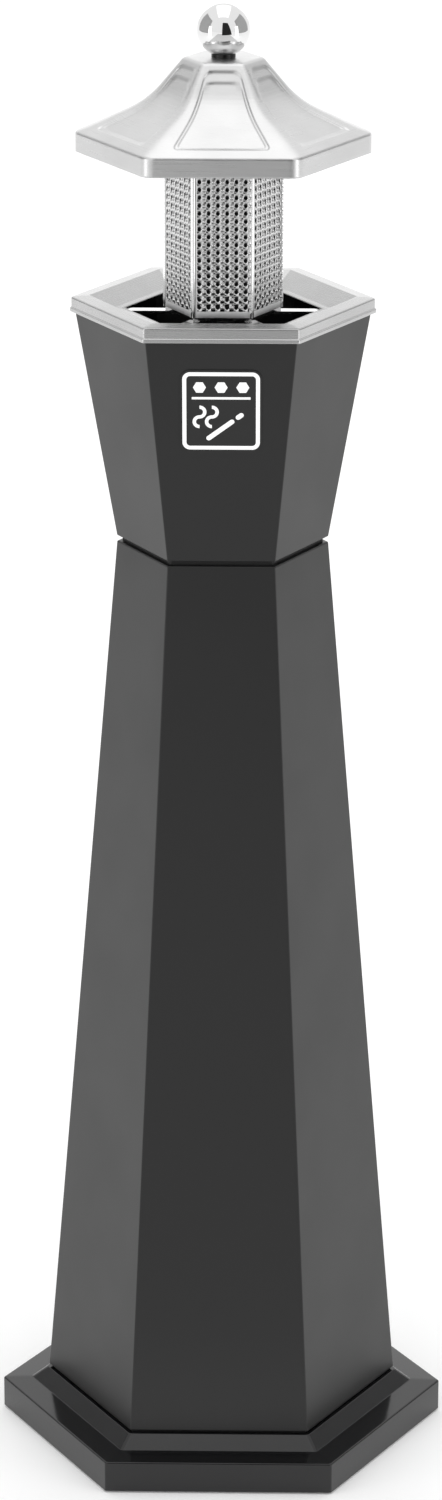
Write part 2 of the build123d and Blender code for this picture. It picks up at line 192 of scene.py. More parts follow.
@dataclass(frozen=True)
class Finish:
    """A surface finish, made into one material the first time that it is asked for."""

    name: str
    colour: str
    roughness: float
    metallic: float = 0.0
    along: Along = Along.PIECE

    def material(self) -> bpy.types.Material:
        """Gives the finish's material.

        Returns:
            The one material of this name.
        """
        made = bpy.data.materials.get(self.name)
        if made:
            return made
        made = bpy.data.materials.new(self.name)
        made.use_nodes = True
        tree = made.node_tree
        tree.nodes.clear()
        sockets = {"Base Color": linear(self.colour), "Roughness": self.roughness, "Metallic": self.metallic}
        shader = add_node(tree, "ShaderNodeBsdfPrincipled", sockets)
        add_node(tree, "ShaderNodeOutputMaterial", {"Surface": shader.outputs["BSDF"]})
        self.work(Surface(tree, shader, self.along, self.roughness))
        return made

    def work(self, surface: Surface) -> None:
        """Leaves the surface plain; each real finish adds what its making leaves."""


@dataclass(frozen=True)
class PowderCoat(Finish):
    """Baked polyester powder on steel: an even black with the fine orange peel that flowed powder keeps.

    The peel softens reflections, so a broad face shows a slow change of tone and no sharp image.
    """

    peel: float = 1.6
    peel_depth: float = 0.012
    peel_strength: float = 0.35
    drift_width: float = 55.0
    gloss_drift: float = 0.03

    def work(self, surface: Surface) -> None:
        """Adds the peel and a slow drift in gloss."""
        surface.mottle(surface.noise(self.drift_width, detail=2), self.gloss_drift)
        surface.emboss(surface.noise(self.peel), self.peel_depth, self.peel_strength)


@dataclass(frozen=True)
class BrushedSteel(Finish):
    """Stainless sheet brushed along each side: long fine scratches that draw highlights out sideways.

    A real scratch is about 0.05 mm wide. They are drawn some ten times wider so that they show.
    """

    metallic: float = 1.0
    along: Along = Along.SHEET
    scratch: float = 0.5
    scratch_depth: float = 0.004
    scratch_strength: float = 0.3
    streak_length: float = 60.0
    contrast: float = 0.05
    gloss_spread: float = 0.06
    cloud_width: float = 34.0
    cloud_tones: tuple[float, float] = (0.95, 1.03)

    def work(self, surface: Surface) -> None:
        """Adds scratches to the gloss, the tone and the relief.

        Args:
            surface: the material being made.
        """
        lines = surface.noise(self.streak_length, (1, self.streak_length / self.scratch, 1), 2)
        surface.mottle(lines, self.gloss_spread)
        base = linear(self.colour)[0]
        clouds = surface.noise(self.cloud_width, detail=2)
        streaks = surface.vary(lines, base * (1 - self.contrast), base)
        tones = {0: streaks, 1: surface.vary(clouds, *self.cloud_tones)}
        tone = surface.add("ShaderNodeMath", tones, operation="MULTIPLY")
        grey = surface.add("ShaderNodeCombineColor", {i: tone.outputs[0] for i in range(3)})
        surface.feed(grey.outputs[0], "Base Color")
        surface.emboss(lines, self.scratch_depth, self.scratch_strength)


@dataclass(frozen=True)
class PolishedMetal(Finish):
    """Buffed chrome or steel: a clear mirror, with faint haze left by handling."""

    metallic: float = 1.0
    haze: float = 0.05
    smear_width: float = 9.0

    def work(self, surface: Surface) -> None:
        """Adds the haze."""
        smears = surface.noise(self.smear_width, (1, 1, 3), 5)
        surface.feed(surface.vary(smears, self.roughness, self.roughness + self.haze), "Roughness")


@dataclass(frozen=True)
class PlatedSteel(Finish):
    """Zinc-plated or mill steel: a cloudy grey metal broken into dull and bright patches of crystal."""

    metallic: float = 1.0
    crystal: float = 7.0
    gloss_spread: float = 0.1
    dull: float = 0.82
    bright: float = 1.1

    def work(self, surface: Surface) -> None:
        """Adds the crystals.

        Args:
            surface: the material being made.
        """
        place = surface.add("ShaderNodeTexCoord").outputs["Object"]
        cells = surface.add("ShaderNodeTexVoronoi", {"Vector": place, "Scale": 1 / (self.crystal * MM)})
        share = surface.add("ShaderNodeSeparateColor", {0: cells.outputs["Color"]}).outputs[0]
        low, high = self.roughness - self.gloss_spread, self.roughness + self.gloss_spread
        gloss = surface.add("ShaderNodeMapRange", {"Value": share, "To Min": low, "To Max": high})
        surface.feed(gloss.outputs["Result"], "Roughness")
        base = linear(self.colour)[0]
        tones = {"Value": share, "To Min": base * self.dull, "To Max": base * self.bright}
        tone = surface.add("ShaderNodeMapRange", tones)
        grey = surface.add("ShaderNodeCombineColor", {i: tone.outputs["Result"] for i in range(3)})
        surface.feed(grey.outputs[0], "Base Color")


@dataclass(frozen=True)
class Backlit(Finish):
    """Opal acrylic lit from below: a matt white surface that stays pale in the object's shade."""

    glow: float = 0.1

    def work(self, surface: Surface) -> None:
        """Lets some light through."""
        surface.shader.inputs["Emission Color"].default_value = linear(self.colour)
        surface.shader.inputs["Emission Strength"].default_value = self.glow


@dataclass(frozen=True)
class Moulded(Finish):
    """Moulded rubber, foam strip or printed ink: matt, with a fine even grain of its own size."""

    grain: float = 0.8
    relief: float = 0.05
    relief_strength: float = 0.5
    gloss_spread: float = 0.05

    def work(self, surface: Surface) -> None:
        """Adds the grain.

        Args:
            surface: the material being made.
        """
        grain = surface.noise(self.grain, detail=4)
        surface.mottle(grain, self.gloss_spread)
        surface.emboss(grain, self.relief, self.relief_strength)


BACKLIT_ACRYLIC = Backlit("backlit_opal_acrylic", "#fcfcfc", 0.9)
SATIN_BLACK = PowderCoat("satin_black_powder_coat", "#181818", 0.36)
GLOSS_BLACK = PowderCoat("gloss_black_stove_enamel", "#151516", 0.13, peel=1.7, peel_depth=0.03)
GROOVE_BLACK = PowderCoat("matt_black_primer", "#0b0b0b", 0.6)
# Painted shade: the head floor, pail shelf, pail, bail lugs and lantern liner are painted near black so that
# the inside seen through the slots and holes reads as dark as the shade in there.
SHADE_BLACK_ENAMEL = PowderCoat("black_enamel_painted_shade", "#101010", 0.4, peel=3.0)
COLLAR_BLACK = PowderCoat("black_oxide_collar", "#0a0a0a", 0.25)
ROOF_STEEL = BrushedSteel("brushed_stainless_roof", "#dadada", 0.32)
TRAY_STEEL = BrushedSteel("brushed_stainless_tray", "#c6c6c6", 0.28)
PLATE_STEEL = BrushedSteel("satin_stainless_plate", "#c8c8c8", 0.34, along=Along.PIECE)
PUNCHED_STEEL = BrushedSteel("punched_stainless_sheet", "#e0e0e0", 0.2, along=Along.PIECE, contrast=0.1)
POLISHED_STEEL = PolishedMetal("polished_stainless", "#f4f4f4", 0.12)
MIRROR_CHROME = PolishedMetal("mirror_chrome", "#e8e8e8", 0.015, haze=0.02)
ZINC = PlatedSteel("zinc_plated_steel", "#b4b5b8", 0.38, crystal=2.5)
MILL_PLATE = PlatedSteel("hot_rolled_plate", "#4a4a4d", 0.55, crystal=14.0)
RUBBER = Moulded("moulded_black_rubber", "#161616", 0.75)
FOAM = Moulded("black_foam_strip", "#0a0a0a", 0.9, grain=0.5)
SIGN_FIELD = Moulded("smooth_black_sign_plate", "#1c1c1c", 0.38, grain=0.4, relief=0.004)
SIGN_INK = Moulded("white_screen_print", "#ffffff", 0.5, grain=0.3, relief=0.01)


# ---------------------------------------------------------------- mesh and node tools


def smoothed(mesh: Mesh, angle: float = SMOOTH_ANGLE) -> Mesh:
    """Shades a mesh smooth up to an angle, and sharp past it.

    Args:
        mesh: the mesh.
        angle: the sharpest edge that still looks round, in radians.

    Returns:
        The same mesh.
    """
    mesh.shade_smooth()
    mesh.set_sharp_from_angle(angle=angle)
    return mesh


def new_object(name: str, mesh: Mesh) -> Object:
    """Puts a mesh in the scene as an object at the origin."""
    made = bpy.data.objects.new(name, mesh)
    bpy.context.scene.collection.objects.link(made)
    return made


def baked(source: Object, name: str) -> Object:
    """Turns an object and its modifiers into a plain mesh, and removes the source.

    Args:
        source: the object with live modifiers.
        name: name of the finished piece.

    Returns:
        The finished piece.
    """
    graph = bpy.context.evaluated_depsgraph_get()
    mesh = bpy.data.meshes.new_from_object(source.evaluated_get(graph), depsgraph=graph)
    bpy.data.objects.remove(source)
    mesh.name = name
    return new_object(name, mesh)


def finished(piece: Object, body: str, replaces: tuple[str, ...] = ()) -> Object:
    """Hands a piece over to its CAD body.

    Args:
        piece: the finished piece.
        body: the CAD body that it moves with.
        replaces: the CAD nodes that it stands for.

    Returns:
        The same piece.
    """
    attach(piece, body)
    if replaces:
        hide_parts(*replaces)
    log.info("%s: %d faces on %s", piece.name, len(piece.data.polygons), body)
    return piece


def thicken(piece: Object, wall: float) -> bpy.types.SolidifyModifier:
    """Gives an open sheet its thickness, inwards from the face that is seen.

    Args:
        piece: the sheet.
        wall: its thickness in millimetres.

    Returns:
        The modifier, still live.
    """
    made = piece.modifiers.new("wall", "SOLIDIFY")
    made.thickness = wall * MM
    made.offset = -1
    return made


def dress(finish: Finish, *nodes: str) -> None:
    """Gives CAD nodes that stay their real finish.

    Args:
        finish: what they are finished in.
        nodes: their names.
    """
    for node in nodes:
        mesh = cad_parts[node].data
        mesh.materials.clear()
        mesh.materials.append(finish.material())
        log.info("%s keeps its CAD shape in %s", node, finish.name)


class NodeShape:
    """A Geometry Nodes tree with named inputs, run once on a mesh to give a plain mesh."""

    def __init__(self, name: str, sockets: dict[str, tuple[str, object]]) -> None:
        """Starts the tree.

        Args:
            name: the tree's name.
            sockets: each input's name, socket type and default value.
        """
        self.tree = bpy.data.node_groups.new(name, "GeometryNodeTree")
        self.tree.interface.new_socket("Geometry", in_out="INPUT", socket_type="NodeSocketGeometry")
        for label, (kind, value) in sockets.items():
            socket = self.tree.interface.new_socket(label, in_out="INPUT", socket_type=kind)
            if value is not None:
                socket.default_value = value
        self.tree.interface.new_socket("Geometry", in_out="OUTPUT", socket_type="NodeSocketGeometry")
        self.given = self.step("NodeGroupInput").outputs

    def step(self, kind: str, inputs: dict | None = None, **settings) -> Node:
        """Adds a node to the tree."""
        return add_node(self.tree, kind, inputs, **settings)

    def close(self, instances: Socket) -> None:
        """Ends the tree: instances made real, their meeting points joined, and the finish set.

        Args:
            instances: the socket that gives the instances.
        """
        real = self.step("GeometryNodeRealizeInstances", {"Geometry": instances})
        meeting = {"Geometry": real.outputs[0], "Distance": MERGE}
        joined = self.step("GeometryNodeMergeByDistance", meeting)
        coat = {"Geometry": joined.outputs[0], "Material": self.given["Finish"]}
        coated = self.step("GeometryNodeSetMaterial", coat)
        self.step("NodeGroupOutput", {0: coated.outputs[0]})

    def run(self, mesh: Mesh, name: str, values: dict[str, object]) -> Object:
        """Runs the tree on a mesh.

        Args:
            mesh: what the tree is given.
            name: name of the piece that comes out.
            values: the inputs that differ from their defaults.

        Returns:
            The piece, with no modifier on it.
        """
        raw = bpy.data.objects.new(f"{name}_raw", mesh)
        modifier = raw.modifiers.new("shape", "NODES")
        modifier.node_group = self.tree
        for item in self.tree.interface.items_tree:
            if item.item_type == "SOCKET" and item.in_out == "INPUT" and item.name in values:
                modifier[item.identifier] = values[item.name]
        bpy.context.scene.collection.objects.link(raw)
        return baked(raw, name)


class TurnedCopies(NodeShape):
    """Copies one sixth of a piece round the axis and joins the copies into a whole."""

    def __init__(self) -> None:
        """Builds the tree: a point for each copy, and each copy turned by its number."""
        super().__init__(
            "turned_copies",
            {
                "Copies": ("NodeSocketInt", SIDES),
                "Turn": ("NodeSocketFloat", SIDE_TURN),
                "Finish": ("NodeSocketMaterial", None),
            },
        )
        start = {"Count": self.given["Copies"], "Offset": (0, 0, 0)}
        points = self.step("GeometryNodeMeshLine", start)
        number = self.step("GeometryNodeInputIndex")
        share = {0: number.outputs[0], 1: self.given["Turn"]}
        angle = self.step("ShaderNodeMath", share, operation="MULTIPLY")
        euler = self.step("ShaderNodeCombineXYZ", {"Z": angle.outputs[0]})
        turn = self.step("FunctionNodeEulerToRotation", {0: euler.outputs[0]})
        placed = {"Points": points.outputs["Mesh"], "Instance": self.given["Geometry"]}
        placed["Rotation"] = turn.outputs[0]
        copies = self.step("GeometryNodeInstanceOnPoints", placed)
        self.close(copies.outputs[0])


class PunchedField(NodeShape):
    """Repeats one punched and dimpled cell over an upright sheet that faces -Y."""

    def __init__(self) -> None:
        """Builds the tree: a grid of points stood upright, with a cell on each."""
        super().__init__(
            "punched_field",
            {
                "Columns": ("NodeSocketInt", 6),
                "Rows": ("NodeSocketInt", 20),
                "Pitch Across": ("NodeSocketFloat", 6 * MM),
                "Pitch Up": ("NodeSocketFloat", 5 * MM),
                "Finish": ("NodeSocketMaterial", None),
            },
        )
        spans = {}
        for axis, count, pitch in (("X", "Columns", "Pitch Across"), ("Y", "Rows", "Pitch Up")):
            less_one = {0: self.given[count], 1: 1.0}
            gaps = self.step("ShaderNodeMath", less_one, operation="SUBTRACT")
            span = {0: gaps.outputs[0], 1: self.given[pitch]}
            size = self.step("ShaderNodeMath", span, operation="MULTIPLY")
            spans[f"Size {axis}"] = size.outputs[0]
        counts = {"Vertices X": self.given["Columns"], "Vertices Y": self.given["Rows"]}
        flat = self.step("GeometryNodeMeshGrid", {**spans, **counts})
        tilted = {"Geometry": flat.outputs["Mesh"], "Rotation": (math.pi / 2, 0, 0)}
        upright = self.step("GeometryNodeTransform", tilted)
        placed = {"Points": upright.outputs[0], "Instance": self.given["Geometry"]}
        cells = self.step("GeometryNodeInstanceOnPoints", placed)
        self.close(cells.outputs[0])


@dataclass
class Tools:
    """The two Geometry Nodes tools, built once and shared by the sub-assemblies."""

    turned_copies: TurnedCopies = field(default_factory=TurnedCopies)
    punched_field: PunchedField = field(default_factory=PunchedField)


def mesh_of(name: str, points: list, faces: list, uvs: list | None = None) -> Mesh:
    """Makes a mesh from millimetre points.

    Args:
        name: the mesh's name.
        points: points in millimetres.
        faces: tuples of point numbers.
        uvs: a flat position for each point, in millimetres.

    Returns:
        The mesh, in metres.
    """
    mesh = bpy.data.meshes.new(name)
    mesh.from_pydata([Vector(p) * MM for p in points], [], faces)
    if uvs:
        layer = mesh.uv_layers.new(name="sheet")
        for corner in mesh.loops:
            layer.data[corner.index].uv = Vector(uvs[corner.vertex_index]) * MM
    mesh.update()
    return mesh


def rounded(corners: list[tuple[float, float, float]], steps: int = 5) -> Line:
    """Rounds the corners of a line of straight runs.

    Args:
        corners: apothem, height and bend radius at each corner, in millimetres.
        steps: facets in each bend.

    Returns:
        Apothem and height of each point of the rounded line.
    """
    line = [corners[0][:2]]
    for before, here, after in zip(corners, corners[1:], corners[2:]):
        spot, radius = Vector(here[:2]), here[2]
        back = (Vector(before[:2]) - spot).normalized()
        onward = (Vector(after[:2]) - spot).normalized()
        half = math.acos(max(-1.0, min(1.0, back.dot(onward)))) / 2
        if radius <= 0 or abs(half - math.pi / 2) < STRAIGHT:
            line.append(tuple(spot))
            continue
        centre = spot + (back + onward).normalized() * radius / math.sin(half)
        first = spot + back * radius / math.tan(half) - centre
        last = spot + onward * radius / math.tan(half) - centre
        sweep = first.angle_signed(last)
        for k in range(steps + 1):
            turned = Matrix.Rotation(-sweep * k / steps, 2) @ first
            line.append(tuple(centre + turned))
    line.append(corners[-1][:2])
    return line


@dataclass
class FoldedSheet:
    """Sheet folded round the hexagon: a line of heights swept along six sides with rounded corners.

    One sixth of it is meshed, the side that faces -Y. The turned copies make the rest, and a
    Solidify gives the sheet its thickness, inwards from the face that is seen.
    """

    name: str
    line: Line
    corner: Callable[[float], float]
    wall: float
    finish: Finish
    focus: Callable[[float, float], tuple[float, float]] | None = None
    press: Callable[[float, float], float] | None = None
    arc_steps: int = 5
    crowd_steps: tuple[int, int, int] = (5, 12, 6)

    def across(self, apothem: float) -> Line:
        """Gives the points of one side at a level, from its left corner to its right.

        Args:
            apothem: from the axis to the middle of the side.

        Returns:
            Distance out from the axis and along the side, for each point.
        """
        bend = min(self.corner(apothem), apothem)
        half = (apothem - bend) * math.tan(HALF_TURN)
        arc = []
        for k in range(self.arc_steps):
            turn = -HALF_TURN * (1 - k / self.arc_steps)
            arc.append((apothem - bend + bend * math.cos(turn), -half + bend * math.sin(turn)))
        flat = [(apothem, t) for t in self.along_side(apothem, half)]
        return arc + flat + [(n, -t) for n, t in reversed(arc)]

    def along_side(self, apothem: float, half: float) -> list[float]:
        """Spreads points along the flat of a side, crowding them where a pressed edge runs.

        Args:
            apothem: the level's apothem.
            half: half the flat's length.

        Returns:
            Places along the side.
        """
        if not self.focus:
            return [half * (k / 2 - 1) for k in range(5)]
        edge, spread = self.focus(apothem, half)
        breaks = (-half, -edge - spread, -edge + spread, 0)
        parts = zip(breaks, breaks[1:], self.crowd_steps)
        left = [a + (b - a) * k / n for a, b, n in parts for k in range(n)]
        return left + [0.0] + [-t for t in reversed(left)]

    def one_side(self) -> Mesh:
        """Meshes the side that faces -Y.

        Returns:
            An open sheet of quads with its brushing direction in a UV map.
        """
        points, uvs, run = [], [], 0.0
        tilts = self.tilts()
        for i, (apothem, height) in enumerate(self.line):
            if i:
                run += math.dist(self.line[i], self.line[i - 1])
            out, up = tilts[i]
            for n, t in self.across(apothem):
                depth = self.press(apothem, t) if self.press else 0.0
                points.append((t, -(n - out * depth), height - up * depth))
                uvs.append((t, run))
        wide = len(points) // len(self.line)
        faces = []
        for i in range(len(self.line) - 1):
            for j in range(wide - 1):
                low, high = i * wide + j, (i + 1) * wide + j
                faces.append((low, low + 1, high + 1, high))
        return mesh_of(self.name, points, faces, uvs)

    def tilts(self) -> Line:
        """Gives the outward direction at each point of the line, as outward and upward shares."""
        found = []
        for i in range(len(self.line)):
            before, after = self.line[max(i - 1, 0)], self.line[min(i + 1, len(self.line) - 1)]
            run = (after[0] - before[0], after[1] - before[1])
            length = math.hypot(*run) or 1.0
            found.append((run[1] / length, -run[0] / length))
        return found

    def make(self, tools: Tools) -> Object:
        """Makes the whole piece.

        Args:
            tools: the shared node tools.

        Returns:
            A closed piece with flat faces that shade flat.
        """
        values = {"Finish": self.finish.material()}
        whole = tools.turned_copies.run(self.one_side(), f"{self.name}_open", values)
        smoothed(whole.data)
        thicken(whole, self.wall).use_even_offset = True
        weigh = whole.modifiers.new("flats", "WEIGHTED_NORMAL")
        weigh.keep_sharp = True
        weigh.weight = FLAT_WEIGHT
        return baked(whole, self.name)


def lathed(name: str, line: Line, finish: Finish, facets: int = 96) -> Object:
    """Turns a line round the axis, with a pole wherever the line meets it.

    Args:
        name: name of the piece.
        line: radius and height of each point from the foot up, in millimetres.
        finish: its finish.
        facets: facets in a full turn.

    Returns:
        The closed piece.
    """
    points, faces, rings = [], [], []
    for radius, height in line:
        start = len(points)
        count = 1 if radius < POLE_RADIUS else facets
        for k in range(count):
            turn = math.tau * k / facets
            points.append((radius * math.cos(turn), radius * math.sin(turn), height))
        rings.append((start, count))
    for (low, low_count), (high, high_count) in zip(rings, rings[1:]):
        for k in range(facets):
            a, b = k, (k + 1) % facets
            if low_count == 1:
                faces.append((low, high + b, high + a)[::-1])
            elif high_count == 1:
                faces.append((low + a, low + b, high))
            else:
                faces.append((low + a, low + b, high + b, high + a))
    mesh = mesh_of(name, points, faces)
    mesh.materials.append(finish.material())
    return new_object(name, smoothed(mesh))


# ---------------------------------------------------------------- sub-assemblies


def millimetres(node: str) -> tuple[Vector, Vector]:
    """Gives a CAD node's lowest and highest corners in millimetres."""
    low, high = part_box(node)
    return low / MM, high / MM


@dataclass
class SubAssembly:
    """A part of the column that is built and dressed as one, with the shared node tools."""

    tools: Tools


@dataclass
class Base(SubAssembly):
    """The weighted base: a pressed two-step cover over a steel plate on rubber feet."""

    wall: float = 1.5
    step_foot: float = 134.0
    step_top: float = 123.0
    mouth: float = 98.0
    ledge_height: float = 23.0
    edge_bend: float = 1.3
    corner: float = 2.1
    step_corner: float = 4.2
    pad_radius: float = 15.0
    tread_rings: tuple[float, float] = (11.0, 8.6)

    def corner_at(self, apothem: float) -> float:
        """Gives a corner's rounding: tight on the plinth, softer on the step.

        Args:
            apothem: the level's apothem.

        Returns:
            The rounding's radius.
        """
        foot, rim = self.step_foot * TO_APOTHEM, millimetres("base_cover")[1].y
        share = min(1.0, max(0.0, (rim - apothem) / (rim - foot)))
        return self.corner + (self.step_corner - self.corner) * share

    def cover(self) -> None:
        """Makes the cover with its crisp rolled edges and tightly rounded corners."""
        low, high = millimetres("base_cover")
        rim = high.y
        foot = self.step_foot * TO_APOTHEM
        line = rounded(
            [
                (rim, low.z, 0),
                (rim, self.ledge_height, self.edge_bend),
                (foot, self.ledge_height + 0.6, 0.8),
                (self.step_top * TO_APOTHEM, high.z, 0.9),
                (self.mouth * TO_APOTHEM, high.z, 0),
            ]
        )
        sheet = FoldedSheet("base_cover_shell", line, self.corner_at, self.wall, GLOSS_BLACK)
        finished(sheet.make(self.tools), "root", ("base_cover",))

    def feet(self) -> None:
        """Makes the six ribbed rubber pads."""
        high = millimetres("rubber_feet")[1]
        rim = [(self.pad_radius, high.z), (14.6, 3.0), (14.2, 2.4), (13.9, 1.2), (13.5, 0.5), (13.0, 0.0)]
        tread = []
        for ring in self.tread_rings:
            tread += [(ring + 0.6, 0.0), (ring + 0.3, 0.9), (ring - 0.3, 0.9), (ring - 0.6, 0.0)]
        line = [(0.0, 2.0), (6.0, 2.0), (6.4, 0.0), *reversed(tread), *reversed(rim), (0.0, high.z)]
        pad = lathed("rubber_pad", line, RUBBER, 40)
        mesh = pad.data.copy()
        mesh.transform(Matrix.Translation(((high.x - self.pad_radius) * MM, 0, 0)))
        bpy.data.objects.remove(pad)
        pads = self.tools.turned_copies.run(mesh, "ribbed_feet", {"Finish": RUBBER.material()})
        smoothed(pads.data)
        finished(pads, "root", ("rubber_feet",))

    def make(self) -> None:
        """Builds and dresses the whole base."""
        self.cover()
        self.feet()
        dress(MILL_PLATE, "base_plate")
        dress(ZINC, "base_spacers", "base_bolts")
        dress(FOAM, "column_gasket")


@dataclass
class Column(SubAssembly):
    """The tapered stand of folded sheet, flanged at both ends."""

    wall: float = 1.5
    foot: float = 121.5
    top: float = 70.6
    foot_flange: float = 98.0
    neck_flange: float = 44.0
    end_bend: float = 1.2
    corner: float = 1.2

    def make(self) -> None:
        """Builds and dresses the column and the neck on it."""
        low, high = millimetres("column_shell")
        line = rounded(
            [
                (self.foot_flange * TO_APOTHEM, low.z, 0),
                (self.foot * TO_APOTHEM, low.z, self.end_bend),
                (self.top * TO_APOTHEM, high.z, self.end_bend),
                (self.neck_flange * TO_APOTHEM, high.z, 0),
            ]
        )
        sheet = FoldedSheet("column_folded_shell", line, lambda apothem: self.corner, self.wall, SATIN_BLACK)
        finished(sheet.make(self.tools), "root", ("column_shell",))
        dress(ZINC, "column_weld_nuts", "neck_bolts", "neck_nuts")
        dress(GROOVE_BLACK, "neck_ring")


@dataclass
class Head(SubAssembly):
    """The flared head with its floor, the shelf for the pail and the sign on its front."""

    wall: float = 1.5
    foot: float = 70.6
    top: float = 99.0
    lip: float = 8.0
    neck_flange: float = 44.0
    end_bend: float = 1.0
    corner: float = 1.2

    def make(self) -> None:
        """Builds and dresses the head."""
        low, high = millimetres("head_shell")
        rim = self.top * TO_APOTHEM
        line = rounded(
            [
                (self.neck_flange * TO_APOTHEM, low.z, 0),
                (self.foot * TO_APOTHEM, low.z, self.end_bend),
                (rim, high.z, self.end_bend),
                (rim - self.lip, high.z, 0),
            ]
        )
        sheet = FoldedSheet("head_folded_shell", line, lambda apothem: self.corner, self.wall, SATIN_BLACK)
        finished(sheet.make(self.tools), "root", ("head_shell",))
        # Painted shade: the head floor and pail shelf are near black to stand for the shade inside the head.
        dress(SHADE_BLACK_ENAMEL, "head_floor", "pail_shelf")
        dress(SIGN_FIELD, "sign_plate")
        dress(SIGN_INK, "sign_print")


@dataclass
class Pail(SubAssembly):
    """The ash pail that hangs on the shelf, with its wire bail."""

    def make(self) -> None:
        """Dresses the pail, its lugs and the bail."""
        # Painted shade: the pail and its lugs are near black so that the slots above them read dark.
        dress(SHADE_BLACK_ENAMEL, "pail", "bail_lugs")
        dress(ZINC, "bail")


@dataclass
class Tray(SubAssembly):
    """The pressed tray: a beaded band, a sloping rim, a funnel and a level shelf round the mouth."""

    wall: float = 1.2
    outer: float = 101.2
    rim: float = 88.4
    funnel: float = 71.0
    mouth: float = 65.5
    shelf_height: float = 798.4
    bead_height: float = 2.9
    bead_depth: float = 0.8
    outer_corner: float = 2.6
    inner_corner: float = 1.4
    fold: float = 1.2

    def corner(self, apothem: float) -> float:
        """Gives the corner rounding at a level.

        Args:
            apothem: the level's apothem.

        Returns:
            The rounding's radius, wider at the outer band than at the mouth.
        """
        share = (apothem - self.mouth * TO_APOTHEM) / ((self.outer - self.mouth) * TO_APOTHEM)
        return self.inner_corner + (self.outer_corner - self.inner_corner) * max(0.0, min(1.0, share))

    def make(self) -> None:
        """Builds and dresses the tray and the spider under its mouth."""
        low, high = millimetres("tray")
        band = high.y
        bead = low.z + self.bead_height
        inset = band - self.bead_depth
        line = rounded(
            [
                (inset, low.z, 0),
                (band, low.z + 0.3, 0.5),
                (band, bead - 0.3, 0.5),
                (inset, bead + 0.3, 0.4),
                (inset, high.z - 1.0, self.fold),
                (self.rim * TO_APOTHEM, high.z, self.fold),
                (self.funnel * TO_APOTHEM, self.shelf_height, self.fold),
                (self.mouth * TO_APOTHEM, self.shelf_height, 0),
            ]
        )
        sheet = FoldedSheet("tray_pressing", line, self.corner, self.wall, TRAY_STEEL)
        finished(sheet.make(self.tools), "top", ("tray",))
        dress(POLISHED_STEEL, "spider")


